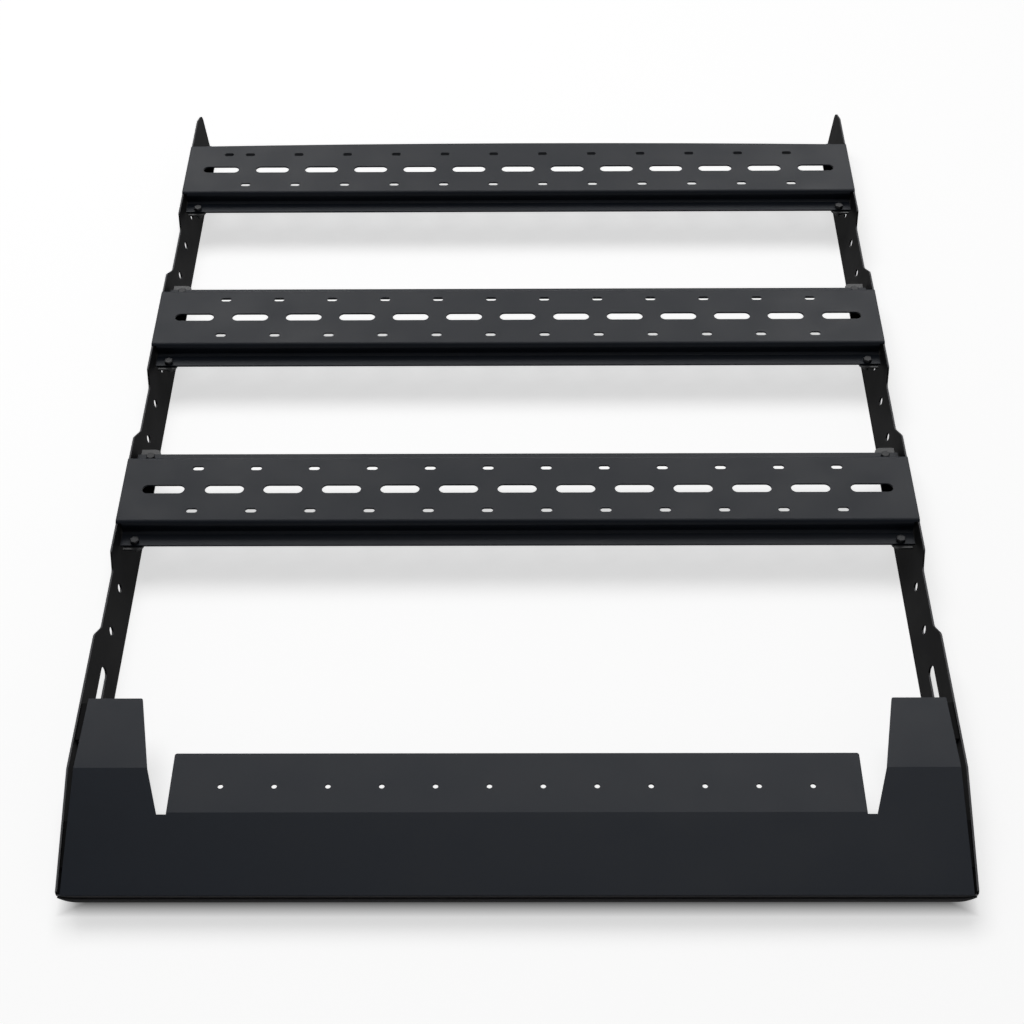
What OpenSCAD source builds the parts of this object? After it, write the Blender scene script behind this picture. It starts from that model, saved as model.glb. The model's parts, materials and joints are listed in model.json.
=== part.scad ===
// Truck bed rack: two leaning side rails, three slotted crossbars and a folded wind fairing.
// Millimetres. X is across the rack, +Y is towards its rear, Z is up from the floor.
// The origin is the bottom centre of the whole rack.

/* [Overall] */

// Width across the tops of the two side rails
overall_w = 1372; // [1350:2:1400]
// Length from the rear tips of the rails to the front of the edge trim
overall_l = 1916; // [1900:2:1960]

/* [Side rails] */

// Thickness of the rail plate
rail_t = 3.2; // [2.5:0.1:4]
// Depth of the plate, measured down its own face
rail_depth = 107; // [100:1:120]
// Lean of the plate, bottom edge inboard
lean_deg = 12; // [8:1:15]
// Depth of the lowered edge between two bars
low_s = 20.5; // [14:0.5:24]
// Depth of the lowered edge between the front bar and the fairing
front_low_s = 19; // [10:0.5:22]
// From a bar's centre back to the top of the ramp behind it
bump_rear = 132; // [124:1:136]
// From a bar's centre forward to the end of its raised edge
bump_front = 141; // [130:1:144]
// Length of the steep drop in front of a bar
drop_l = 29; // [22:1:38]
// Length of the shallow ramp behind a bar
ramp_l = 36; // [30:1:42]
// From the wings' rear edge back to the end of the raised edge beside the fairing
fairing_run = 130; // [120:1:140]
// Length of the ramp behind that
fairing_ramp_l = 30; // [24:1:40]
// Rounding of the corners where the edge changes level
edge_r = 18; // [8:1:24]
// Rounding at the top of the steep drop
drop_r = 9; // [4:1:12]
// Rounding of the plate's lower corners
foot_r = 12; // [6:1:16]
// Diameter of the side holes
side_hole_d = 16; // [10:0.5:20]
// Depth of the side holes below the rail's top edge
side_hole_s = 53; // [48:1:58]
// First side hole, forward of a bar's centre
side_hole_first = 85; // [80:1:92]
// Distance from one side hole to the next
side_hole_pitch = 94; // [88:1:98]
// Height of the long slot beside the fairing
side_slot_w = 22; // [16:1:28]
// Length of the long slot beside the fairing
side_slot_l = 170; // [120:5:180]
// How far that slot runs back past the wings' rear edge
side_slot_back = 104; // [90:1:112]
// Depth of that slot below the rail's top edge
side_slot_s = 55; // [50:1:60]

/* [Rail ends] */

// Length of the sloping top edge of the nose
nose_l = 38; // [34:1:44]
// Depth of the nose's tip below the top edge
nose_tip_s = 12; // [10:1:20]
// Rounding of the nose's corners
nose_r = 10; // [6:1:12]
// How far the bottom rear corner is cut back from the tip
rear_cut = 44; // [34:1:50]
// How far the bottom front corner is cut back from the front tip
front_cut = 44; // [34:1:52]
// Rounding of the front tip
front_tip_r = 5; // [3:0.5:10]

/* [Crossbars] */

// Thickness of the bar sheet
bar_t = 3.2; // [2.5:0.1:4]
// Height of the folded hat section
bar_h = 27.5; // [25:0.5:34]
// Width over the outside of the two webs
hat_w = 160; // [156:0.5:166]
// Inside radius of every bend
bend_r = 5; // [1.5:0.1:6]
// Width of each flange, from the web's outside face
bar_flange = 29.5; // [28:0.5:34]
// From the rear tips of the rails to the rear bar's centre
rear_bar_in = 210; // [206:0.5:216]
// How much longer the rear bay is than the other bays
bay_extra = 10.5; // [0:0.5:14]
// How far the middle of the rear bar's back edge stands out
crown_h = 8; // [4:0.5:14]
// Room between a bar's flange end and the rail
flange_end_gap = 1; // [0.5:0.5:4]

/* [Slots] */

// From a bar's end to the middle of its last slot, on the even pitch
slot_margin = 76.4; // [72:0.2:84]
// Number of long slots in a bar
long_count = 13; // [11:2:13]
// Length of a long slot, end to end
long_slot_l = 68; // [60:1:72]
// Width of a long slot
long_slot_w = 20; // [14:1:24]
// Length of the last long slot at each end of a bar
end_slot_l = 73.5; // [64:0.5:76]
// How far those two stand outboard of the even pitch
end_slot_out = 4.5; // [0:0.5:6]
// Distance of a small slot row from the bar's centre line
small_row = 50.8; // [44:0.2:56]
// Length of a small slot, end to end
small_slot_l = 19.5; // [16:0.5:24]
// Width of a small slot
small_slot_w = 10; // [6:0.5:12]
// Extra small slot of the rear bar, outboard of the first one
extra_slot_out = 44; // [36:1:50]

/* [End brackets] */

// Thickness of the bracket sheet
bracket_t = 3.2; // [2.5:0.1:4]
// Inboard reach of the leaf from the rail's outer top edge
leaf_reach = 49; // [44:0.5:54]
// How far the leaf stands out past the bar's flange
leaf_over = 6.5; // [3:0.5:9]
// The same behind the middle bar and the front bar
leaf_over_back = 15; // [5:0.5:17]
// Room between the leaf's free ends and the rail
leaf_end_gap = 5; // [2:0.5:7]
// Rounding of the leaf's inboard corners
leaf_r = 11; // [5:1:12]
// Length of the leg that stands inside the bar's end
leg_l = 130; // [100:5:135]
// Room between the top of the leg and the bar's top sheet
leg_top_gap = 2; // [1:0.5:4]
// Diameter of the bolt holes through flange and leaf
leaf_bolt_d = 10.5; // [9:0.5:11]
// Distance of the bolt holes from the rail's outer top edge
leaf_bolt_in = 33; // [30:0.5:36]
// Distance of the bolt holes from the bar's centre line
leaf_bolt_y = 101; // [99:0.5:102]

/* [Wind fairing] */

// Thickness of the fairing sheet
fairing_t = 3; // [2:0.1:4]
// Slope of the main face
face_deg = 11.5; // [10:0.5:14]
// Length of a flat wing panel
wing_l = 132.5; // [124:0.5:140]
// Plan length of the sloping main face
face_l = 199; // [190:1:208]
// Gap between the fairing's ends and the rails at the lip
fairing_gap = 4; // [2:0.5:8]
// The same gap at the wings' rear edge
fairing_gap_rear = 10; // [4:0.5:12]
// Width of a wing at its rear edge, from the rail's outer top edge
wing_rear_in = 98.5; // [90:0.5:104]
// Width of a wing at the fold
wing_fold_in = 123.5; // [114:0.5:128]
// Width of a wing at the foot of the notch
wing_notch_in = 145; // [138:1:150]
// Rounding of the wings' inner rear corners
wing_r = 3; // [1:0.5:12]
// From the rail's outer top edge to the end of the centre flange
centre_in = 159.5; // [155:0.5:170]
// Fold of the centre flange, forward of the wings' fold
centre_fold_in = 71.5; // [66:0.5:78]
// Depth of the centre flange, from its fold to its rear edge
centre_flange_l = 108.5; // [100:0.5:112]
// Rounding of the centre flange's corners
centre_r = 4; // [1:0.5:8]
// How far the notches run past the centre flange's fold
notch_past = 3; // [1:0.5:5]
// Distance of the hole row from the centre flange's fold
light_row_in = 47.5; // [40:0.5:54]
// From each end of the centre flange to the row's last hole
light_margin = 76.5; // [60:0.5:90]
// Number of holes in that row
light_count = 12; // [10:2:12]
// Diameter of those holes
light_hole_d = 8.5; // [6:0.5:11]

/* [Fairing fixings] */

// Width of each fairing bracket along the rail
clip_l = 70; // [50:2:76]
// Inboard reach of a bracket's leaf from the rail
clip_leaf = 45; // [35:1:50]
// How far a bracket's leg runs on below its bolt
clip_foot = 15; // [12:1:20]
// Thickness of the bracket sheet
clip_t = 3.2; // [2.5:0.1:4]
// Rear bracket's centre, behind the wings' fold
rear_clip_in = 90; // [86:1:94]
// Front bracket's centre, forward of the wings' fold
front_clip_in = 120; // [110:1:130]
// Bolt hole in a bracket's leg
clip_bolt_d = 9; // [7:0.5:11]
// Depth below the rail's edge of the front bracket's bolt hole
front_bolt_s = 62; // [56:1:66]
// Bulb radius of the edge trim
bulb_r = 3.2; // [2.5:0.1:4.5]
// How far the trim hangs below the fairing's lip
trim_drop = 10; // [8:0.5:14]
// How far the trim stops short of each end of the fairing's lip
trim_short = 2; // [1:1:20]
// Length over which the bulb tapers at each end
trim_taper = 18; // [8:1:30]
// Width of the trim's strip under the lip
trim_strip_w = 14; // [10:1:18]
// Thickness of that strip and of the trim's front wall
trim_strip_t = 2.4; // [1.5:0.1:3]

/* [Hidden] */

$fn = 64;
half_w = overall_w / 2;
rear_y = overall_l / 2;
front_y = -overall_l / 2;
// Height of the rail's outer top corner and of its inner top corner
rail_top = rail_depth * cos(lean_deg);
rail_rest = rail_top + rail_t * sin(lean_deg);
// The bars lie on the rails' inner top corners
bar_top = rail_rest + bar_t;
bar_bottom = bar_top - bar_h;
rear_bar_y = rear_y - rear_bar_in;
long_half = (long_count - 1) / 2;
slot_pitch = (overall_w - 2 * slot_margin) / (long_count - 1);
centre_half_w = half_w - centre_in;
light_pitch = 2 * (centre_half_w - light_margin) / (light_count - 1);
// The crown laps over the top bend and onto the flat sheet
crown_lap = bend_r + 2 * bar_t;
// Fairing levels and lines
wing_top = rail_rest;
// The bulb of the trim stands in front of the lip, at the foot of the trim
bulb_depth = fairing_t + trim_drop - bulb_r;
lip_y = front_y + bulb_r * (1 + cos(face_deg)) - bulb_depth * sin(face_deg);
fold_y = lip_y + face_l;
wing_rear_y = fold_y + wing_l;
lip_z = wing_top - face_l * tan(face_deg);
// The bars divide the room between the rear bar and the wings
bar_pitch = (rear_bar_y - wing_rear_y - bay_extra) / 3;
bar_ys = [rear_bar_y, rear_bar_y - bar_pitch - bay_extra, rear_bar_y - 2 * bar_pitch - bay_extra];
centre_fold_y = fold_y - centre_fold_in;
centre_top = wing_top - centre_fold_in * tan(face_deg);
notch_y = centre_fold_y - notch_past;
centre_rear_y = centre_fold_y + centre_flange_l;
fold_shift = fairing_t * tan(face_deg / 2);
// The fairing's ends turn away from the rails towards the rear
end_turn = atan((fairing_gap_rear - fairing_gap) / (wing_rear_y - lip_y));
face_slope_l = face_l / cos(face_deg);
// The nose's drawn corner stands past the tip by what its rounding takes away
nose_top = [-nose_l, nose_tip_s];
nose_foot = [-rear_cut, nose_tip_s - rail_depth];
nose_y = rear_y - nose_r - round_centre(nose_top, [0, 0], nose_foot, nose_r)[0];
// Largest turn between two points of a rounded corner, in degrees
arc_step = 6;
// Small overlap of a cutter past the faces it cuts
cut = 1;
// Far enough to pass the whole rack
far = 3000;

// X of the right rail's inner face at a height
function inner_x(z) = half_w - (rail_top - z) * tan(lean_deg) - rail_t / cos(lean_deg);

// Corner rounding: unit vector, half the corner's angle, centre of the touching circle
function unit(v) = v / norm(v);
function half_angle(a, p, b) = acos(unit(a - p) * unit(b - p)) / 2;
function round_centre(a, p, b, r) =
    p + unit(unit(a - p) + unit(b - p)) * r / sin(half_angle(a, p, b));

// Points of the arc of radius r that rounds corner p between a and b
function corner_arc(a, p, b, r) =
    let (
        h = half_angle(a, p, b),
        c = round_centre(a, p, b, r),
        u = p + unit(a - p) * r / tan(h) - c,
        w = p + unit(b - p) * r / tan(h) - c,
        n = ceil((180 - 2 * h) / arc_step)
    )
    [for (i = [0:n]) c + r * unit(u * (n - i) + w * i)];

// Closed outline from points given as [x, y, corner radius]
module rounded_outline(pts) {
    n = len(pts);
    xy = [for (q = pts) [q[0], q[1]]];
    polygon([
        for (i = [0:n - 1])
            let (a = xy[(i + n - 1) % n], b = xy[(i + 1) % n], r = pts[i][2])
                each (r > 0 ? corner_arc(a, xy[i], b, r) : [xy[i]])
    ]);
}

// Slot with round ends, long way along the first axis
module slot_2d(l, w) {
    square([l - w, w], center = true);
    for (s = [-1, 1])
        translate([s * (l - w) / 2, 0]) circle(d = w);
}

// Puts a drawing of (along Y, up the plate) on the right rail's own plane
module on_rail_plane(off, t) {
    translate([half_w, 0, rail_top])
        rotate([0, lean_deg, 0])
            translate([-off - t, 0, 0])
                rotate([90, 0, 90])
                    linear_extrude(height = t) children();
}

// Everything outboard of the right rail's inner face
module outside_rail_face() {
    on_rail_plane(rail_t - far, far)
        square([2 * far, 2 * far], center = true);
}

// Copies the right-hand piece to the left when asked
module hand(side) {
    if (side < 0)
        mirror([1, 0, 0]) children();
    else
        children();
}

/* Side rails */

module rail_outline() {
    rounded_outline(concat(
        [
            [lip_y + front_cut, -rail_depth, foot_r],
            [nose_y - rear_cut, -rail_depth, foot_r],
            [nose_y, -nose_tip_s, nose_r],
            [nose_y - nose_l, 0, nose_r],
            [bar_ys[0] - bump_front, 0, drop_r],
            [bar_ys[0] - bump_front - drop_l, -low_s, edge_r]
        ],
        [
            for (k = [1, 2])
                each [
                    [bar_ys[k] + bump_rear + ramp_l, -low_s, edge_r],
                    [bar_ys[k] + bump_rear, 0, edge_r],
                    [bar_ys[k] - bump_front, 0, drop_r],
                    [bar_ys[k] - bump_front - drop_l, k == 1 ? -low_s : -front_low_s, edge_r]
                ]
        ],
        [
            [wing_rear_y + fairing_run + fairing_ramp_l, -front_low_s, edge_r],
            [wing_rear_y + fairing_run, 0, edge_r],
            [fold_y, 0, edge_r],
            [lip_y, (lip_z - wing_top) / cos(lean_deg), front_tip_r]
        ]
    ));
}

module side_rail(side) {
    hand(side)
        on_rail_plane(0, rail_t)
            difference() {
                rail_outline();
                for (b = bar_ys)
                    for (k = [0:2])
                        if (b > bar_ys[2] || k > 0)
                            translate([b - side_hole_first - k * side_hole_pitch, -side_hole_s])
                                circle(d = side_hole_d);
                translate([wing_rear_y + side_slot_back - side_slot_l / 2, -side_slot_s])
                    slot_2d(side_slot_l, side_slot_w);
                translate([fold_y - front_clip_in, -front_bolt_s]) circle(d = clip_bolt_d);
            }
}

module side_rail_left() {
    color([0.07, 0.07, 0.08]) side_rail(-1);
}

module side_rail_right() {
    color([0.07, 0.07, 0.08]) side_rail(1);
}

/* Crossbars */

// One half of the folded section, drawn for the +Y side with the top of the bar at zero
module hat_half() {
    web_out = hat_w / 2;
    r_out = bend_r + bar_t;
    // top sheet
    translate([0, -bar_t]) square([web_out - r_out, bar_t]);
    // top bend
    translate([web_out - r_out, -r_out])
        intersection() {
            difference() {
                circle(r = r_out);
                circle(r = bend_r);
            }
            square([r_out, r_out]);
        }
    // web
    translate([web_out - bar_t, -bar_h + r_out]) square([bar_t, bar_h - 2 * r_out]);
    // lower bend
    translate([web_out + bend_r, -bar_h + r_out])
        intersection() {
            difference() {
                circle(r = r_out);
                circle(r = bend_r);
            }
            translate([-r_out, -r_out]) square([r_out, r_out]);
        }
    // flange
    translate([web_out + bend_r, -bar_h]) square([bar_flange - bend_r, bar_t]);
}

// Puts a drawing of (along Y, up) across the rack
module across(w) {
    translate([-w / 2, 0, 0])
        rotate([90, 0, 90])
            linear_extrude(height = w) children();
}

module bar_slots(extra) {
    for (k = [1 - long_half:long_half - 1])
        translate([k * slot_pitch, 0]) slot_2d(long_slot_l, long_slot_w);
    for (s = [-1, 1])
        translate([s * (long_half * slot_pitch + end_slot_out), 0]) slot_2d(end_slot_l, long_slot_w);
    for (s = [-1, 1])
        for (k = [-long_half:long_half - 1])
            translate([(k + 0.5) * slot_pitch, s * small_row]) slot_2d(small_slot_l, small_slot_w);
    if (extra)
        translate([-(long_half - 0.5) * slot_pitch - extra_slot_out, small_row])
            slot_2d(small_slot_l, small_slot_w);
}

module bolt_spots(side) {
    for (s = [-1, 1])
        translate([side * (half_w - leaf_bolt_in), s * leaf_bolt_y]) circle(d = leaf_bolt_d);
}

module crossbar(y, crown) {
    // The webs and flanges stop at the rails, the top sheet lies over them
    low_w = 2 * (inner_x(bar_top - bar_h) - flange_end_gap);
    crown_r = (half_w * half_w + crown_h * crown_h) / (2 * crown_h);
    translate([0, y, bar_top])
        difference() {
            union() {
                intersection() {
                    across(overall_w)
                        union() {
                            hat_half();
                            mirror([1, 0]) hat_half();
                        }
                    union() {
                        across(low_w)
                            translate([-hat_w, -2 * bar_h]) square([2 * hat_w, 2 * bar_h - bar_t]);
                        across(overall_w)
                            translate([-hat_w, -bar_t]) square([2 * hat_w, 2 * bar_t]);
                    }
                }
                if (crown)
                    translate([0, 0, -bar_t])
                        linear_extrude(height = bar_t)
                            intersection() {
                                translate([-half_w, hat_w / 2 - crown_lap])
                                    square([overall_w, 2 * crown_lap + crown_h]);
                                translate([0, hat_w / 2 + crown_h - crown_r]) circle(r = crown_r, $fn = 360);
                            }
            }
            translate([0, 0, -bar_t - cut])
                linear_extrude(height = bar_t + 2 * cut) bar_slots(crown);
            translate([0, 0, -bar_h - cut])
                linear_extrude(height = bar_t + 2 * cut)
                    for (s = [-1, 1])
                        bolt_spots(s);
        }
}

module crossbar_rear() {
    color([0.09, 0.09, 0.1]) crossbar(bar_ys[0], true);
}

module crossbar_middle() {
    color([0.09, 0.09, 0.1]) crossbar(bar_ys[1], false);
}

module crossbar_front() {
    color([0.09, 0.09, 0.1]) crossbar(bar_ys[2], false);
}

/* End brackets: a leaf under the bar's flanges and a leg up the rail's inner face */

module end_bracket(side, y, over_back) {
    leaf_y0 = -hat_w / 2 - bar_flange - leaf_over;
    leaf_y1 = hat_w / 2 + bar_flange + over_back;
    leaf_z = bar_bottom - bracket_t;
    leaf_in_x = half_w - leaf_reach;
    leaf_end_x = inner_x(leaf_z) - leaf_end_gap;
    // The leg's inboard top corner is its highest point
    leg_top = bar_top - bar_t - leg_top_gap - (rail_t + bracket_t) * sin(lean_deg);
    leg_v1 = (leg_top - rail_top) / cos(lean_deg);
    leg_v0 = (leaf_z + bracket_t / 2 - rail_top) / cos(lean_deg);
    hand(side)
        translate([0, y, 0])
            difference() {
                union() {
                    translate([0, 0, leaf_z])
                        linear_extrude(height = bracket_t)
                            difference() {
                                rounded_outline([
                                    [half_w, -leg_l / 2, 0],
                                    [half_w, leg_l / 2, 0],
                                    [leaf_end_x, leg_l / 2, 0],
                                    [leaf_end_x, leaf_y1, 0],
                                    [leaf_in_x, leaf_y1, leaf_r],
                                    [leaf_in_x, leaf_y0, leaf_r],
                                    [leaf_end_x, leaf_y0, 0],
                                    [leaf_end_x, -leg_l / 2, 0]
                                ]);
                                bolt_spots(1);
                            }
                    on_rail_plane(rail_t, bracket_t)
                        translate([-leg_l / 2, leg_v0]) square([leg_l, leg_v1 - leg_v0]);
                }
                outside_rail_face();
            }
}

module end_bracket_rear_left() {
    color([0.1, 0.1, 0.11]) end_bracket(-1, bar_ys[0], leaf_over);
}

module end_bracket_rear_right() {
    color([0.1, 0.1, 0.11]) end_bracket(1, bar_ys[0], leaf_over);
}

module end_bracket_middle_left() {
    color([0.1, 0.1, 0.11]) end_bracket(-1, bar_ys[1], leaf_over_back);
}

module end_bracket_middle_right() {
    color([0.1, 0.1, 0.11]) end_bracket(1, bar_ys[1], leaf_over_back);
}

module end_bracket_front_left() {
    color([0.1, 0.1, 0.11]) end_bracket(-1, bar_ys[2], leaf_over_back);
}

module end_bracket_front_right() {
    color([0.1, 0.1, 0.11]) end_bracket(1, bar_ys[2], leaf_over_back);
}

/* Wind fairing: one sheet, folded down in front of the wings and back at the centre */

// Section with a flat panel at height z that ends at rear, folded at fold
module folded_section(rear, fold, z) {
    polygon([
        [rear, z],
        [fold, z],
        [lip_y, lip_z],
        [lip_y + fairing_t * sin(face_deg), lip_z - fairing_t * cos(face_deg)],
        [fold + fold_shift, z - fairing_t],
        [rear, z - fairing_t]
    ]);
}

// Plan of the wings and the main face, right half drawn from the centre line
module wing_plan() {
    end_x = half_w + cut;
    notch_x = half_w - wing_notch_in;
    for (s = [0, 1])
        mirror([s, 0])
            rounded_outline([
                [0, front_y, 0],
                [end_x, front_y, 0],
                [end_x, wing_rear_y, 0],
                [half_w - wing_rear_in, wing_rear_y, wing_r],
                [half_w - wing_fold_in, fold_y, 0],
                [notch_x, notch_y, 0],
                [0, notch_y, 0]
            ]);
}

// Plan of the centre flange with its rounded rear corners and hole row
module centre_plan() {
    difference() {
        rounded_outline([
            [-centre_half_w, notch_y, 0],
            [centre_half_w, notch_y, 0],
            [centre_half_w, centre_rear_y, centre_r],
            [-centre_half_w, centre_rear_y, centre_r]
        ]);
        for (k = [0:light_count - 1])
            translate([(k - (light_count - 1) / 2) * light_pitch, centre_fold_y + light_row_in])
                circle(d = light_hole_d);
    }
}

module wind_fairing() {
    color([0.06, 0.06, 0.07])
        difference() {
            union() {
                intersection() {
                    across(overall_w)
                        folded_section(wing_rear_y, fold_y, wing_top);
                    linear_extrude(height = 2 * bar_top) wing_plan();
                }
                intersection() {
                    across(2 * centre_half_w)
                        folded_section(centre_rear_y, centre_fold_y, centre_top);
                    linear_extrude(height = 2 * bar_top) centre_plan();
                }
            }
            for (s = [-1, 1])
                hand(s)
                    translate([half_w - fairing_gap, lip_y, 0])
                        rotate([0, 0, end_turn])
                            translate([-half_w, -lip_y, 0]) outside_rail_face();
        }
}

// Turns a shape from level to the slope of the main face, about the wings' fold
module on_face() {
    translate([0, fold_y, wing_top])
        rotate([face_deg, 0, 0]) children();
}

// Rubber trim: a strip glued under the lip, a wall down from it and a bulb with tapered ends
module fairing_edge_trim() {
    trim_w = 2 * (inner_x(lip_z) - fairing_gap - trim_short);
    bulb_y = -face_slope_l - bulb_r;
    color([0.03, 0.03, 0.03])
        on_face() {
            translate([0, bulb_y, -bulb_depth])
                rotate([0, 90, 0])
                    rotate_extrude()
                        polygon([
                            [0, -trim_w / 2],
                            [bulb_r / 2, -trim_w / 2],
                            [bulb_r, trim_taper - trim_w / 2],
                            [bulb_r, trim_w / 2 - trim_taper],
                            [bulb_r / 2, trim_w / 2],
                            [0, trim_w / 2]
                        ]);
            across(trim_w - trim_taper)
                union() {
                    translate([-face_slope_l, -fairing_t - trim_strip_t])
                        square([trim_strip_w, trim_strip_t]);
                    translate([bulb_y, -bulb_depth - trim_strip_t / 2])
                        square([bulb_r + trim_strip_t, trim_strip_t]);
                    translate([-face_slope_l, -bulb_depth - trim_strip_t / 2])
                        square([trim_strip_t, bulb_depth + trim_strip_t / 2 - fairing_t]);
                }
        }
}

/* Fairing brackets: a leaf under the sheet and a leg down the rail's inner face */

// Everything above the underside of the wing, or of the sloping face
module above_sheet(sloped) {
    translate([0, fold_y, wing_top])
        rotate([sloped ? face_deg : 0, 0, 0])
            translate([-far, -far, -fairing_t]) cube([2 * far, 2 * far, far]);
}

module fairing_bracket(side, y, sloped, bolt_s) {
    leaf_x = inner_x(wing_top) - clip_leaf;
    leg_bottom = bolt_s + clip_foot;
    hand(side)
        difference() {
            union() {
                if (sloped)
                    on_face()
                        translate([leaf_x, y - fold_y - clip_l / 2, -fairing_t - clip_t])
                            cube([half_w, clip_l, clip_t]);
                else
                    translate([leaf_x, y - clip_l / 2, wing_top - fairing_t - clip_t])
                        cube([half_w, clip_l, clip_t]);
                on_rail_plane(rail_t, clip_t)
                    difference() {
                        translate([y - clip_l / 2, -leg_bottom]) square([clip_l, leg_bottom + 2 * clip_t]);
                        translate([y, -bolt_s]) circle(d = clip_bolt_d);
                    }
            }
            outside_rail_face();
            above_sheet(sloped);
        }
}

module fairing_bracket_rear_left() {
    color([0.1, 0.1, 0.11]) fairing_bracket(-1, fold_y + rear_clip_in, false, side_hole_s);
}

module fairing_bracket_rear_right() {
    color([0.1, 0.1, 0.11]) fairing_bracket(1, fold_y + rear_clip_in, false, side_hole_s);
}

module fairing_bracket_front_left() {
    color([0.1, 0.1, 0.11]) fairing_bracket(-1, fold_y - front_clip_in, true, front_bolt_s);
}

module fairing_bracket_front_right() {
    color([0.1, 0.1, 0.11]) fairing_bracket(1, fold_y - front_clip_in, true, front_bolt_s);
}

side_rail_left();
side_rail_right();
crossbar_rear();
crossbar_middle();
crossbar_front();
end_bracket_rear_left();
end_bracket_rear_right();
end_bracket_middle_left();
end_bracket_middle_right();
end_bracket_front_left();
end_bracket_front_right();
wind_fairing();
fairing_edge_trim();
fairing_bracket_rear_left();
fairing_bracket_rear_right();
fairing_bracket_front_left();
fairing_bracket_front_right();
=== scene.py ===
import json
import math

import bmesh
import bpy
from mathutils import Matrix, Vector


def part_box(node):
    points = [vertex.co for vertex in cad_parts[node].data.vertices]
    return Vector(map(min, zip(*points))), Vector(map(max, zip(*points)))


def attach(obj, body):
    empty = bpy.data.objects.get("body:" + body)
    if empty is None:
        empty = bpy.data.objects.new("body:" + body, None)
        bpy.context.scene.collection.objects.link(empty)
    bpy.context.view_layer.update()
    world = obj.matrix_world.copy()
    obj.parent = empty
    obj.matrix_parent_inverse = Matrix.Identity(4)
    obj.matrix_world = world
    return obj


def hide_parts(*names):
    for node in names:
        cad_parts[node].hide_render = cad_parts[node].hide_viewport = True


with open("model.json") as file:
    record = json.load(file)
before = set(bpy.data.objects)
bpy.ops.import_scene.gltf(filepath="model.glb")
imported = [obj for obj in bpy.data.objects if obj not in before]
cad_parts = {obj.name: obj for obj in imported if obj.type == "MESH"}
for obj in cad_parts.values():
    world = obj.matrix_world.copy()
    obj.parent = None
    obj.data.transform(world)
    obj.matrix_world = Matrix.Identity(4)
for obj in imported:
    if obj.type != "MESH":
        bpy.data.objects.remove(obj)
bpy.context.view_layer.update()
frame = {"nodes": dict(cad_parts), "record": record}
print("frame loaded:", len(frame["nodes"]), "nodes")

scene = bpy.context.scene
scene.view_settings.view_transform = "Standard"
mm = 0.001


def toLinear(hexColour):
    # an sRGB hex such as "1c1d1f" as a linear colour
    channels = [int(hexColour[i:i + 2], 16) / 255 for i in (0, 2, 4)]
    linear = [c / 12.92 if c <= 0.04045 else ((c + 0.055) / 1.055) ** 2.4 for c in channels]
    return (*linear, 1.0)


def addNode(tree, kind, settings=None, inputs=None, links=None):
    # one node with its settings, its fixed inputs, and its links as {input: output socket}
    node = tree.nodes.new(kind)
    for name, value in (settings or {}).items():
        setattr(node, name, value)
    for name, value in (inputs or {}).items():
        node.inputs[name].default_value = value
    for name, socket in (links or {}).items():
        tree.links.new(socket, node.inputs[name])
    return node


def emptyMaterial(name):
    material = bpy.data.materials.new(name)
    material.use_nodes = True
    material.node_tree.nodes.clear()
    return material, material.node_tree


# Camera, at the photograph's angle

cameraPlace = {
    "position": (0.0172, -2.4275, 2.4558),  # in front of the fairing and above it
    "pitchDown": 46.823,
    "yaw": -0.674,
    "roll": -0.618,
    "focalPixels": 1880.0,  # focal length in pixels of a picture 1024 wide
}


def makeCamera(place):
    pitch, yaw, roll = (math.radians(place[k]) for k in ("pitchDown", "yaw", "roll"))
    ahead = Vector((math.sin(yaw) * math.cos(pitch), math.cos(yaw) * math.cos(pitch), -math.sin(pitch)))
    right = Vector((math.cos(yaw), -math.sin(yaw), 0.0))
    up = right.cross(ahead)
    rolledRight = right * math.cos(roll) + up * math.sin(roll)
    rolledUp = up * math.cos(roll) - right * math.sin(roll)
    data = bpy.data.cameras.new("camera")
    data.sensor_width = 36.0
    data.lens = place["focalPixels"] / 1024 * data.sensor_width
    camera = bpy.data.objects.new("camera", data)
    scene.collection.objects.link(camera)
    turn = Matrix((rolledRight, rolledUp, -ahead)).transposed().to_4x4()
    camera.matrix_world = Matrix.Translation(place["position"]) @ turn
    scene.camera = camera


makeCamera(cameraPlace)
print("camera made")


# Materials

coats = {
    # the rail coat's "edge" colour is a painted highlight, given to the rails' upward-facing faces
    "railCoat": {"colour": "131314", "roughness": 0.60, "specular": 0.025, "grain": 0.10, "edge": "5c5c5e"},
    # a darker, duller copy of the coat: painted shade for the fairing's brackets
    "paintedShadeCoat": {"colour": "131314", "roughness": 0.60, "specular": 0.025, "grain": 0.10},
    "barCoat": {"colour": "10151d", "roughness": 0.44, "specular": 0.13, "grain": 0.12},
    "fairingCoat": {"colour": "10161f", "roughness": 0.44, "specular": 0.165, "grain": 0.12},
    "bracketCoat": {"colour": "1b1c1e", "roughness": 0.42, "specular": 0.27, "grain": 0.10},
}


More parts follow.
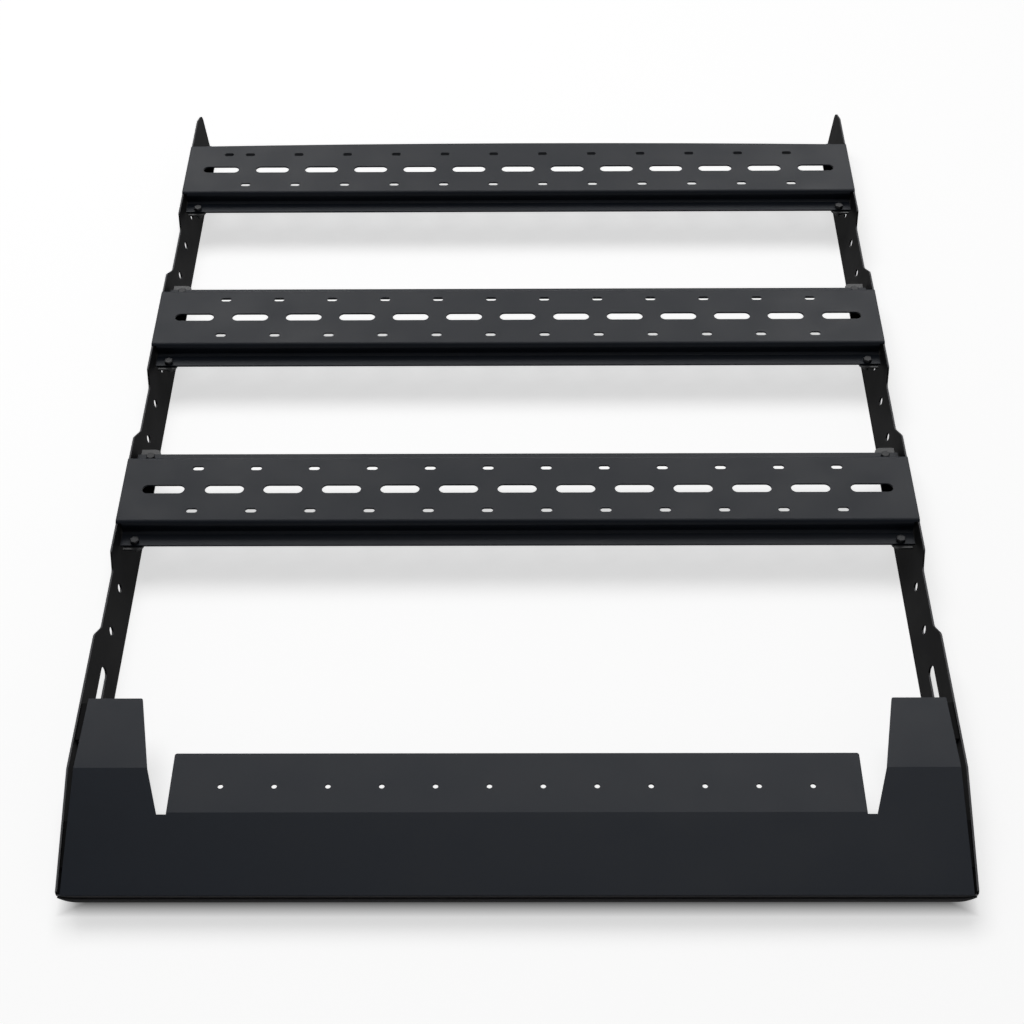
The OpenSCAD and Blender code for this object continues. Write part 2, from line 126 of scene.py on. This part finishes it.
def powderCoat(name, look):
    # satin black polyester powder coat, sprayed and baked: no sparkle, a faint orange peel that
    # breaks up the sheen, and a slow drift in gloss where the film is thicker
    material, tree = emptyMaterial(name)
    place = addNode(tree, "ShaderNodeTexCoord").outputs["Object"]
    # real orange peel is about 0.8 mm from bump to bump; 2.5 mm is the finest that the render shows
    peel = addNode(tree, "ShaderNodeTexNoise", inputs={"Scale": 1 / (2.5 * mm), "Detail": 2.0, "Roughness": 0.55},
                   links={"Vector": place})
    drift = addNode(tree, "ShaderNodeTexNoise", inputs={"Scale": 1 / (90 * mm), "Detail": 3.0},
                    links={"Vector": place})
    gloss = addNode(tree, "ShaderNodeMapRange",
                    inputs={"From Min": 0.3, "From Max": 0.7, "To Min": look["roughness"] - 0.035,
                            "To Max": look["roughness"] + 0.035},
                    links={"Value": drift.outputs["Fac"]})
    tone = addNode(tree, "ShaderNodeMix", {"data_type": "RGBA"}, links={"Factor": drift.outputs["Fac"]})
    deep = toLinear(look["colour"])
    tone.inputs["A"].default_value = (deep[0] * 0.9, deep[1] * 0.9, deep[2] * 0.9, 1)
    tone.inputs["B"].default_value = (deep[0] * 1.1, deep[1] * 1.1, deep[2] * 1.1, 1)
    colour = tone.outputs["Result"]
    if "edge" in look:
        # painted highlight: the rails' upward-facing faces, their top edges among them, are turned a lighter grey
        # that stands in for the sheen they catch
        faces = addNode(tree, "ShaderNodeNewGeometry").outputs["Normal"]
        level = addNode(tree, "ShaderNodeSeparateXYZ", links={"Vector": faces}).outputs["Z"]
        paintedSheenMask = addNode(tree, "ShaderNodeMapRange", inputs={"From Min": 0.8, "From Max": 0.95},
                         links={"Value": level}).outputs["Result"]
        paintedSheen = addNode(tree, "ShaderNodeMix", {"data_type": "RGBA"}, links={"Factor": paintedSheenMask})
        tree.links.new(colour, paintedSheen.inputs["A"])
        paintedSheen.inputs["B"].default_value = toLinear(look["edge"])
        colour = paintedSheen.outputs["Result"]
    # powder builds up round a cut edge, so sheet edges are never sharp
    edge = addNode(tree, "ShaderNodeBevel", {"samples": 6}, inputs={"Radius": 0.7 * mm})
    skin = addNode(tree, "ShaderNodeBump", inputs={"Strength": look["grain"], "Distance": 0.35 * mm},
                   links={"Height": peel.outputs["Fac"], "Normal": edge.outputs["Normal"]})
    shader = addNode(tree, "ShaderNodeBsdfPrincipled",
                     inputs={"IOR": 1.5, "Specular IOR Level": look["specular"]},
                     links={"Base Color": colour, "Roughness": gloss.outputs["Result"],
                            "Normal": skin.outputs["Normal"]})
    addNode(tree, "ShaderNodeOutputMaterial", links={"Surface": shader.outputs["BSDF"]})
    return material


def extrudedRubber(name):
    # EPDM edge trim, extruded: dull black, with faint lines along its length
    material, tree = emptyMaterial(name)
    place = addNode(tree, "ShaderNodeTexCoord").outputs["Object"]
    stretched = addNode(tree, "ShaderNodeMapping", inputs={"Scale": (0.02, 1.0, 1.0)}, links={"Vector": place})
    lines = addNode(tree, "ShaderNodeTexNoise", inputs={"Scale": 1 / (1.5 * mm), "Detail": 1.0},
                    links={"Vector": stretched.outputs["Vector"]})
    dust = addNode(tree, "ShaderNodeMix", {"data_type": "RGBA"}, links={"Factor": lines.outputs["Fac"]})
    dust.inputs["A"].default_value = toLinear("464647")
    dust.inputs["B"].default_value = toLinear("58585a")
    skin = addNode(tree, "ShaderNodeBump", inputs={"Strength": 0.2, "Distance": 0.2 * mm},
                   links={"Height": lines.outputs["Fac"]})
    shader = addNode(tree, "ShaderNodeBsdfPrincipled",
                     inputs={"Roughness": 0.72, "IOR": 1.5, "Specular IOR Level": 0.1},
                     links={"Base Color": dust.outputs["Result"], "Normal": skin.outputs["Normal"]})
    addNode(tree, "ShaderNodeOutputMaterial", links={"Surface": shader.outputs["BSDF"]})
    return material


def blackZinc(name):
    # black zinc-plated steel, cold formed: a thin dark conversion film, glossier than the coat round it
    material, tree = emptyMaterial(name)
    place = addNode(tree, "ShaderNodeTexCoord").outputs["Object"]
    # draw marks and film mottling, 1.2 mm apart on a real head
    mottle = addNode(tree, "ShaderNodeTexNoise", inputs={"Scale": 1 / (1.2 * mm), "Detail": 2.0},
                     links={"Vector": place})
    film = addNode(tree, "ShaderNodeMix", {"data_type": "RGBA"}, links={"Factor": mottle.outputs["Fac"]})
    film.inputs["A"].default_value = toLinear("16171a")
    film.inputs["B"].default_value = toLinear("222326")
    edge = addNode(tree, "ShaderNodeBevel", {"samples": 6}, inputs={"Radius": 0.4 * mm})
    shader = addNode(tree, "ShaderNodeBsdfPrincipled",
                     inputs={"Roughness": 0.42, "IOR": 1.5, "Specular IOR Level": 0.16},
                     links={"Base Color": film.outputs["Result"], "Normal": edge.outputs["Normal"]})
    addNode(tree, "ShaderNodeOutputMaterial", links={"Surface": shader.outputs["BSDF"]})
    return material


materials = {name: powderCoat(name, look) for name, look in coats.items()}
materials["trimRubber"] = extrudedRubber("trimRubber")
materials["fastenerBlackZinc"] = blackZinc("fastenerBlackZinc")

finishOfSlot = {
    "rail_coat": "railCoat",
    "bar_coat": "barCoat",
    "fairing_coat": "fairingCoat",
    "bracket_coat": "bracketCoat",
    "trim_rubber": "trimRubber",
}
for subpart in frame["record"]["subparts"]:
    mesh = frame["nodes"][subpart["node"]].data
    finish = finishOfSlot[subpart["material_slot"]]
    if subpart["node"].startswith("fairing_bracket"):
        finish = "paintedShadeCoat"  # painted shade: darker and duller than the brackets under the bars, standing in for the shade under the fairing
    mesh.materials.clear()
    mesh.materials.append(materials[finish])
print("materials made:", len(materials))


# Fasteners

leafBolts = {
    "inboard": 33 * mm,  # from the rail's outer top edge
    "reach": 101 * mm,  # from a bar's centre line to its bolts
    "barReach": 109.5 * mm,  # from a bar's front edge to its centre line
    "sheet": 3.2 * mm,
}
sideBolts = {
    "halfLength": 35 * mm,  # half a fairing bracket's length along the rail
    "depth": {"rear": 53 * mm, "front": 62 * mm},  # below the rail's top edge
    "grip": 6.4 * mm,  # rail and bracket together
}
rail = {
    "lean": math.radians(12),
    "sheet": 3.2 * mm,
}
# 3/8 in hex bolts: sizes of each layer from the seat up
boltHead = {
    "Seat radius": 7.1 * mm,
    "Seat height": 0.4 * mm,
    "Corner radius": 8.25 * mm,
    "Hex height": 4.9 * mm,
    "Shoulder radius": 7.2 * mm,
    "Shoulder height": 0.6 * mm,
    "Face radius": 6.2 * mm,
    "Face height": 0.2 * mm,
}
lockNut = {
    "Washer radius": 10.3 * mm,
    "Washer height": 1.6 * mm,
    "Corner radius": 8.25 * mm,
    "Hex height": 7.0 * mm,
    "Collar radius": 6.9 * mm,
    "Collar height": 2.4 * mm,
    "Shank radius": 4.7 * mm,
    "Shank height": 2.6 * mm,
}
# 5/16 in bolts of the fairing; the rear ones sit on wide washers, because they pass through a slot
sideHead = {**boltHead, "Seat radius": 15 * mm, "Seat height": 1.6 * mm, "Corner radius": 7.3 * mm,
            "Shoulder radius": 6.3 * mm, "Face radius": 5.4 * mm}
frontSideHead = {**sideHead, "Seat radius": 9.5 * mm}
sideNut = {**lockNut, "Washer radius": 9.5 * mm, "Corner radius": 7.3 * mm, "Hex height": 6.2 * mm,
           "Collar radius": 6.1 * mm, "Shank radius": 3.9 * mm}


def newTree(name, sizes):
    # an empty Geometry Nodes tree with one named float input for each size
    tree = bpy.data.node_groups.new(name, "GeometryNodeTree")
    tree.interface.new_socket("Geometry", in_out="INPUT", socket_type="NodeSocketGeometry")
    for label, value in sizes.items():
        socket = tree.interface.new_socket(label, in_out="INPUT", socket_type="NodeSocketFloat")
        socket.default_value = value
    tree.interface.new_socket("Material", in_out="INPUT", socket_type="NodeSocketMaterial")
    tree.interface.new_socket("Geometry", in_out="OUTPUT", socket_type="NodeSocketGeometry")
    return tree


def math2(tree, operation, a, b):
    node = addNode(tree, "ShaderNodeMath", {"operation": operation})
    for index, value in enumerate((a, b)):
        if isinstance(value, (int, float)):
            node.inputs[index].default_value = value
        else:
            tree.links.new(value, node.inputs[index])
    return node.outputs[0]


def endTree(tree, placed, given):
    # instances made real, with their material
    solid = addNode(tree, "GeometryNodeRealizeInstances", links={"Geometry": placed.outputs["Instances"]})
    done = addNode(tree, "GeometryNodeSetMaterial",
                   links={"Geometry": solid.outputs["Geometry"], "Material": given["Material"]})
    addNode(tree, "NodeGroupOutput", links={"Geometry": done.outputs["Geometry"]})
    return tree


def stackTree(name, sizes, layers):
    # layers of (sides, radius below, radius above, height) piled up from each point along its own axis
    tree = newTree(name, sizes)
    given = addNode(tree, "NodeGroupInput").outputs
    joined = addNode(tree, "GeometryNodeJoinGeometry")
    height = None
    for sides, below, above, tall in layers:
        part = addNode(tree, "GeometryNodeMeshCone", inputs={"Vertices": sides},
                       links={"Radius Bottom": given[below], "Radius Top": given[above], "Depth": given[tall]})
        shape = part.outputs["Mesh"]
        if height is not None:
            up = addNode(tree, "ShaderNodeCombineXYZ", links={"Z": height})
            shape = addNode(tree, "GeometryNodeTransform",
                            links={"Geometry": shape, "Translation": up.outputs["Vector"]}).outputs["Geometry"]
        tree.links.new(shape, joined.inputs["Geometry"])
        height = given[tall] if height is None else math2(tree, "ADD", height, given[tall])
    axis = addNode(tree, "GeometryNodeInputNamedAttribute", {"data_type": "FLOAT_VECTOR"}, inputs={"Name": "axis"})
    turn = addNode(tree, "FunctionNodeAlignRotationToVector", {"axis": "Z"},
                   links={"Vector": axis.outputs["Attribute"]})
    # each one was tightened to its own angle
    angle = addNode(tree, "FunctionNodeRandomValue", {"data_type": "FLOAT"}, inputs={"Seed": 5})
    angle.inputs[2].default_value = 0.0
    angle.inputs[3].default_value = math.radians(60)
    twist = addNode(tree, "FunctionNodeAxisAngleToRotation", inputs={"Axis": (0, 0, 1)},
                    links={"Angle": angle.outputs[1]})
    both = addNode(tree, "FunctionNodeRotateRotation", {"rotation_space": "LOCAL"},
                   links={"Rotation": turn.outputs["Rotation"], "Rotate By": twist.outputs["Rotation"]})
    points = addNode(tree, "GeometryNodeMeshToPoints", links={"Mesh": given["Geometry"]})
    placed = addNode(tree, "GeometryNodeInstanceOnPoints",
                     links={"Points": points.outputs["Points"], "Instance": joined.outputs["Geometry"],
                            "Rotation": both.outputs["Rotation"]})
    return endTree(tree, placed, given)


def boltHeadTree():
    return stackTree("boltHeads", boltHead, [
        (32, "Seat radius", "Seat radius", "Seat height"),
        (6, "Corner radius", "Corner radius", "Hex height"),
        (6, "Corner radius", "Shoulder radius", "Shoulder height"),
        (24, "Face radius", "Face radius", "Face height"),
    ])


def lockNutTree():
    return stackTree("lockNuts", lockNut, [
        (32, "Washer radius", "Washer radius", "Washer height"),
        (6, "Corner radius", "Corner radius", "Hex height"),
        (24, "Collar radius", "Shank radius", "Collar height"),
        (16, "Shank radius", "Shank radius", "Shank height"),
    ])


def grow(name, tree, seed, sizes, material):
    # runs a tree on a seed mesh and keeps the result as a plain mesh
    carrier = bpy.data.objects.new(name + ".seed", seed)
    scene.collection.objects.link(carrier)
    modifier = carrier.modifiers.new("grow", "NODES")
    modifier.node_group = tree
    for item in tree.interface.items_tree:
        if item.item_type == "SOCKET" and item.in_out == "INPUT" and item.name in sizes:
            modifier[item.identifier] = sizes[item.name]
        if item.item_type == "SOCKET" and item.in_out == "INPUT" and item.name == "Material":
            modifier[item.identifier] = material
    evaluated = carrier.evaluated_get(bpy.context.evaluated_depsgraph_get())
    mesh = bpy.data.meshes.new_from_object(evaluated)
    piece = bpy.data.objects.new(name, mesh)
    scene.collection.objects.link(piece)
    carrier.modifiers.remove(modifier)
    bpy.data.objects.remove(carrier)
    if not mesh.materials:
        mesh.materials.append(material)
    return piece


def spotCloud(name, spots):
    # a mesh of loose points, each with the axis that its fastener stands along
    mesh = bpy.data.meshes.new(name + ".spots")
    mesh.from_pydata([tuple(point) for point, axis in spots], [], [])
    axes = mesh.attributes.new("axis", "FLOAT_VECTOR", "POINT")
    axes.data.foreach_set("vector", [c for point, axis in spots for c in axis])
    return mesh


def onRail(side, y, depth, inboard):
    # a point so far down the rail's plate and so far inboard of its outer face, and the way out
    out = Vector((side * math.cos(rail["lean"]), 0, -math.sin(rail["lean"])))
    down = Vector((-side * math.sin(rail["lean"]), 0, -math.cos(rail["lean"])))
    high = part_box("side_rail_right")[1]
    edge = Vector((side * high.x, y, high.z - rail["sheet"] * math.sin(rail["lean"])))
    return edge + down * depth - out * inboard, out


def leafBoltSpots(below):
    # on the bars' flanges, or under the brackets' leaves
    spots = []
    axis = Vector((0, 0, -1 if below else 1))
    for place in ("rear", "middle", "front"):
        low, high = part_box("crossbar_" + place)
        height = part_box("end_bracket_" + place + "_right")[0].z if below else low.z + leafBolts["sheet"]
        middle = low.y + leafBolts["barReach"]
        for side in (-1, 1):
            for step in (-leafBolts["reach"], leafBolts["reach"]):
                spots.append((Vector((side * (high.x - leafBolts["inboard"]), middle + step, height)), axis))
    return spots


def sideBoltSpots(place, inside):
    # outside the rails, or inside on the legs of the fairing's brackets
    spots = []
    for side, hand in ((-1, "left"), (1, "right")):
        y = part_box("fairing_bracket_" + place + "_" + hand)[0].y + sideBolts["halfLength"]
        point, out = onRail(side, y, sideBolts["depth"][place], sideBolts["grip"] if inside else 0)
        spots.append((point, -out if inside else out))
    return spots


headTree = boltHeadTree()
nutTree = lockNutTree()
fasteners = {
    "leaf_bolt_heads": (headTree, leafBoltSpots(False), boltHead),
    "leaf_lock_nuts": (nutTree, leafBoltSpots(True), lockNut),
    "rear_side_bolt_heads": (headTree, sideBoltSpots("rear", False), sideHead),
    "front_side_bolt_heads": (headTree, sideBoltSpots("front", False), frontSideHead),
    "rear_side_nuts": (nutTree, sideBoltSpots("rear", True), sideNut),
    "front_side_nuts": (nutTree, sideBoltSpots("front", True), sideNut),
}
newPieces = []
for name, (tree, spots, sizes) in fasteners.items():
    newPieces.append(grow(name, tree, spotCloud(name, spots), sizes, materials["fastenerBlackZinc"]))
print("fasteners made:", len(newPieces))


# Welds

weldBead = {
    "Bead radius": 2.3 * mm,
    "Bead pitch": 2.0 * mm,  # from one ripple to the next
    "Unevenness": 0.12,
}
weldPlan = {
    "stitch": 42 * mm,  # length of one run under a bar's bracket
    "stitchStep": 40 * mm,  # from the bar's centre line to the middle of a run
    "faceSlope": math.radians(11.5),
    "margin": 8 * mm,  # from a fairing bracket's corners to the ends of its runs
}


def weldTree():
    # a row of overlapping ripples along each line of the seed mesh
    tree = newTree("weldBeads", weldBead)
    given = addNode(tree, "NodeGroupInput").outputs
    line = addNode(tree, "GeometryNodeMeshToCurve", links={"Mesh": given["Geometry"]})
    points = addNode(tree, "GeometryNodeCurveToPoints", {"mode": "LENGTH"},
                     links={"Curve": line.outputs["Curve"], "Length": given["Bead pitch"]})
    ripple = addNode(tree, "GeometryNodeMeshUVSphere", inputs={"Segments": 12, "Rings": 8},
                     links={"Radius": given["Bead radius"]})
    spread = addNode(tree, "FunctionNodeRandomValue", {"data_type": "FLOAT"}, inputs={"Seed": 11})
    tree.links.new(math2(tree, "SUBTRACT", 1.0, given["Unevenness"]), spread.inputs[2])
    tree.links.new(math2(tree, "ADD", 1.0, given["Unevenness"]), spread.inputs[3])
    placed = addNode(tree, "GeometryNodeInstanceOnPoints",
                     links={"Points": points.outputs["Points"], "Instance": ripple.outputs["Mesh"],
                            "Scale": spread.outputs[1]})
    return endTree(tree, placed, given)


def weldLines():
    # two stitches under each bar bracket, where its leaf meets the rail, and runs round each fairing bracket
    lines = []
    for side, hand in ((-1, "left"), (1, "right")):
        for place in ("rear", "middle", "front"):
            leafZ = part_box("end_bracket_" + place + "_" + hand)[0].z
            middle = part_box("crossbar_" + place)[0].y + leafBolts["barReach"]
            edge = onRail(side, middle, 0, 0)[0]
            depth = (edge.z - leafZ - rail["sheet"] * math.sin(rail["lean"])) / math.cos(rail["lean"])
            for step in (-weldPlan["stitchStep"], weldPlan["stitchStep"]):
                lines.append([onRail(side, middle + step + half * weldPlan["stitch"], depth, rail["sheet"])[0]
                              for half in (-0.5, 0.5)])
        for place in ("rear", "front"):
            low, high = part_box("fairing_bracket_" + place + "_" + hand)
            slope = weldPlan["faceSlope"] if place == "front" else 0.0
            along = Vector((0, -math.cos(slope), -math.sin(slope)))
            inner = Vector((low.x if side > 0 else high.x, high.y, high.z))
            across = Vector((side, 0, 0))
            length = 2 * sideBolts["halfLength"]
            reach = 30 * mm
            lines.append([inner + along * weldPlan["margin"], inner + along * (length - weldPlan["margin"])])
            for far in (0, length):
                corner = inner + along * far
                lines.append([corner + across * weldPlan["margin"], corner + across * reach])
    return lines


def lineMesh(name, lines):
    mesh = bpy.data.meshes.new(name + ".lines")
    mesh.from_pydata([tuple(end) for line in lines for end in line], [(2 * i, 2 * i + 1) for i in range(len(lines))], [])
    return mesh


newPieces.append(grow("weld_beads", weldTree(), lineMesh("weld_beads", weldLines()), weldBead, materials["bracketCoat"]))
for piece in newPieces:
    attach(piece, "root")
print("welds made")


# Edge trim

edgeTrim = {
    "bulbRadius": 3.2 * mm,
    "bulbDrop": 1.0 * mm,  # how far the bulb sags below the solid's
    "wall": 2.4 * mm,
    "strip": 14 * mm,
    "sheet": 3 * mm,  # of the fairing
    "slope": math.radians(11.5),
    "bendFrom": 645 * mm,  # half the length of the straight run
    "bendTo": 673.2 * mm,
    "wallTo": 675.5 * mm,  # in front of the rails' tips
    "stripTo": 659 * mm,
    "bendBack": 2.5 * mm,  # how far the ends turn back and up, to lie on the rails' tips
    "bendUp": 4.6 * mm,
    "thinned": 0.6,  # of the bulb's radius, at its ends
    "sides": 16,
}


def shell(build, rings, smooth):
    # a closed skin over a row of like rings
    loops = [[build.verts.new(point) for point in ring] for ring in rings]
    for here, there in zip(loops, loops[1:]):
        for i in range(len(here)):
            j = (i + 1) % len(here)
            build.faces.new((here[i], here[j], there[j], there[i])).smooth = smooth
    build.faces.new(loops[0])
    build.faces.new(loops[-1])


def makeTrim(sizes):
    # a strip glued under the lip, a wall down from it, and a bulb whose ends turn up to the rails
    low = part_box("fairing_edge_trim")[0]
    radius = sizes["bulbRadius"]
    back = Vector((0, math.cos(sizes["slope"]), math.sin(sizes["slope"])))
    down = Vector((0, math.sin(sizes["slope"]), -math.cos(sizes["slope"])))
    straight = Vector((0, low.y + radius, low.z + radius))
    depth = (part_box("wind_fairing")[0].z - straight.z) / math.cos(sizes["slope"])
    under = straight + back * radius - down * depth
    foot = straight - Vector((0, 0, sizes["bulbDrop"]))

    def bend(x):
        return max(0.0, (abs(x) - sizes["bendFrom"]) / (sizes["bendTo"] - sizes["bendFrom"])) ** 2

    def centre(x):
        return foot + Vector((x, sizes["bendBack"] * bend(x), sizes["bendUp"] * bend(x)))

    def thickness(x):
        return radius * (1 - (1 - sizes["thinned"]) * min(1.0, bend(x)))

    def round(x, size):
        middle = centre(min(max(x, -sizes["bendTo"]), sizes["bendTo"]))
        middle.x = x
        return [middle + Vector((0, -math.cos(a), math.sin(a))) * size
                for a in (2 * math.pi * i / sizes["sides"] for i in range(sizes["sides"]))]

    def wall(x):
        bottom = centre(x) + back * thickness(x) * 0.8
        return [under + Vector((x, 0, 0)), under + Vector((x, 0, 0)) + back * sizes["wall"],
                bottom + back * sizes["wall"], bottom]

    def strip(x):
        edge = under + Vector((x, 0, 0))
        return [edge, edge + back * sizes["strip"], edge + back * sizes["strip"] + down * sizes["wall"],
                edge + down * sizes["wall"]]

    bends = [sizes["bendFrom"] + (sizes["bendTo"] - sizes["bendFrom"]) * i / 6 for i in range(7)]
    half = [(x, thickness(x)) for x in bends]
    last = thickness(sizes["bendTo"])
    half += [(sizes["bendTo"] + last * math.sin(a), last * math.cos(a))
             for a in (math.radians(d) for d in (25, 50, 70, 84))]
    build = bmesh.new()
    shell(build, [round(-x, size) for x, size in reversed(half)] + [round(x, size) for x, size in half], True)
    ends = [x for x in bends if x < sizes["wallTo"]] + [sizes["wallTo"]]
    shell(build, [wall(-x) for x in reversed(ends)] + [wall(x) for x in ends], False)
    shell(build, [strip(-sizes["stripTo"]), strip(sizes["stripTo"])], False)
    bmesh.ops.recalc_face_normals(build, faces=build.faces)
    mesh = bpy.data.meshes.new("lip_trim")
    build.to_mesh(mesh)
    build.free()
    mesh.materials.append(materials["trimRubber"])
    piece = bpy.data.objects.new("lip_trim", mesh)
    scene.collection.objects.link(piece)
    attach(piece, "root")
    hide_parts("fairing_edge_trim")
    return piece


newPieces.append(makeTrim(edgeTrim))
print("edge trim made")


# Studio

studio = {
    "floorSize": 60.0,
    "floorColour": "fafafa",
    "floorLift": 0.645,  # seen by camera, glossy and transmission rays only
    # a painted shadow under the fairing: the lift's share there, and where on the floor it grows back to all of it
    "paintedShadowLift": 0.08,
    "paintedShadowAhead": (-0.9245, -0.951),
    "paintedShadowBehind": (-0.84, -0.76),
    "paintedShadowBeside": (0.645, 0.69),
    "fill": 0.06,  # light that the surroundings give
    "wallSeen": (0.70, 1.0),  # background at the horizon, where it meets the floor, and higher up
    "wallMirrored": (1.0, 0.35),  # pale walls and a dimmer ceiling, as the coat shows them
}
# soft boxes, each aimed at the rack: degrees to the right of straight behind it, degrees up, metres away
softBoxes = {
    "backLeft": {"azimuth": -21, "elevation": 40, "distance": 9.0, "size": (4.0, 3.6),
                 "radiance": 6.35, "lights": "rack"},
    "backRight": {"azimuth": 21, "elevation": 40, "distance": 9.0, "size": (4.0, 3.6),
                  "radiance": 6.35, "lights": "rack"},
    "overRack": {"azimuth": 25, "elevation": 74, "distance": 8.0, "size": (5.6, 5.0),
                 "radiance": 1.95, "lights": "rack"},
    "overFloor": {"azimuth": -25, "elevation": 74, "distance": 8.0, "size": (5.6, 5.0),
                  "radiance": 2.5, "lights": "floor"},
}


def seenDirectly(tree):
    # 1 for camera, glossy and transmission rays
    path = addNode(tree, "ShaderNodeLightPath")
    either = math2(tree, "MAXIMUM", path.outputs["Is Camera Ray"], path.outputs["Is Glossy Ray"])
    return math2(tree, "MAXIMUM", either, path.outputs["Is Transmission Ray"])


def makeFloor():
    half = studio["floorSize"] / 2
    mesh = bpy.data.meshes.new("floor")
    mesh.from_pydata([(-half, -half, 0), (half, -half, 0), (half, half, 0), (-half, half, 0)], [], [(0, 1, 2, 3)])
    floor = bpy.data.objects.new("floor", mesh)
    scene.collection.objects.link(floor)
    material, tree = emptyMaterial("paintedStudioFloor")
    paint = addNode(tree, "ShaderNodeBsdfDiffuse", inputs={"Color": toLinear(studio["floorColour"])})
    # painted shadow: close under the fairing the floor sees little but the sheet, so its lift is faded out there by
    # floor position, which draws the fairing's shadow onto the floor
    place = addNode(tree, "ShaderNodeSeparateXYZ",
                    links={"Vector": addNode(tree, "ShaderNodeTexCoord").outputs["Object"]})

    def outsidePaintedShadow(value, span):
        return addNode(tree, "ShaderNodeMapRange",
                       inputs={"From Min": span[0], "From Max": span[1], "To Min": studio["paintedShadowLift"]},
                       links={"Value": value}).outputs["Result"]

    across = math2(tree, "ABSOLUTE", place.outputs["X"], 0.0)
    liftOutsidePaintedShadow = math2(tree, "MAXIMUM", outsidePaintedShadow(place.outputs["Y"], studio["paintedShadowAhead"]),
                 outsidePaintedShadow(place.outputs["Y"], studio["paintedShadowBehind"]))
    liftOutsidePaintedShadow = math2(tree, "MAXIMUM", liftOutsidePaintedShadow, outsidePaintedShadow(across, studio["paintedShadowBeside"]))
    seen = math2(tree, "MULTIPLY", seenDirectly(tree), studio["floorLift"])
    lift = addNode(tree, "ShaderNodeEmission", links={"Strength": math2(tree, "MULTIPLY", seen, liftOutsidePaintedShadow)})
    both = addNode(tree, "ShaderNodeAddShader")
    tree.links.new(paint.outputs["BSDF"], both.inputs[0])
    tree.links.new(lift.outputs["Emission"], both.inputs[1])
    addNode(tree, "ShaderNodeOutputMaterial", links={"Surface": both.outputs["Shader"]})
    mesh.materials.append(material)
    return floor


def makeWorld():
    # pale walls for camera and glossy rays, a weak even fill for all others
    world = bpy.data.worlds.new("studio")
    world.use_nodes = True
    tree = world.node_tree
    tree.nodes.clear()
    way = addNode(tree, "ShaderNodeTexCoord").outputs["Generated"]
    height = addNode(tree, "ShaderNodeSeparateXYZ", links={"Vector": way}).outputs["Z"]
    path = addNode(tree, "ShaderNodeLightPath")

    def bands(span, ends):
        return addNode(tree, "ShaderNodeMapRange", inputs={"From Max": span, "To Min": ends[0], "To Max": ends[1]},
                       links={"Value": height}).outputs["Result"]

    mirrored = math2(tree, "MAXIMUM", path.outputs["Is Glossy Ray"], path.outputs["Is Transmission Ray"])
    unseen = addNode(tree, "ShaderNodeMix", {"data_type": "FLOAT"}, inputs={"A": studio["fill"]},
                     links={"Factor": mirrored, "B": bands(0.7, studio["wallMirrored"])})
    strength = addNode(tree, "ShaderNodeMix", {"data_type": "FLOAT"},
                       links={"Factor": path.outputs["Is Camera Ray"], "A": unseen.outputs["Result"],
                              "B": bands(0.3, studio["wallSeen"])})
    air = addNode(tree, "ShaderNodeBackground", inputs={"Color": (1.0, 1.0, 1.0, 1.0)},
                  links={"Strength": strength.outputs["Result"]})
    addNode(tree, "ShaderNodeOutputWorld", links={"Surface": air.outputs["Background"]})
    scene.world = world


def makeSoftbox(name, box):
    data = bpy.data.lights.new(name, "AREA")
    data.shape = "RECTANGLE"
    data.size, data.size_y = box["size"]
    data.energy = box["radiance"] * math.pi * data.size * data.size_y
    lamp = bpy.data.objects.new(name, data)
    scene.collection.objects.link(lamp)
    aside, up = math.radians(box["azimuth"]), math.radians(box["elevation"])
    way = Vector((math.sin(aside) * math.cos(up), math.cos(aside) * math.cos(up), math.sin(up)))
    if box["lights"] != "all":
        lamp.light_linking.receiver_collection = receivers[box["lights"]]
    lamp.matrix_world = Matrix.Translation(way * box["distance"]) @ way.to_track_quat("Z", "Y").to_matrix().to_4x4()


# each lamp lights either the rack or the floor, and the rack's shadows fall on the floor from its own lamp
receivers = {"rack": bpy.data.collections.new("rackPieces"), "floor": bpy.data.collections.new("floorPieces")}
for piece in [*frame["nodes"].values(), *newPieces]:
    receivers["rack"].objects.link(piece)
receivers["floor"].objects.link(makeFloor())
makeWorld()
for name, box in softBoxes.items():
    makeSoftbox(name, box)
print("studio made")
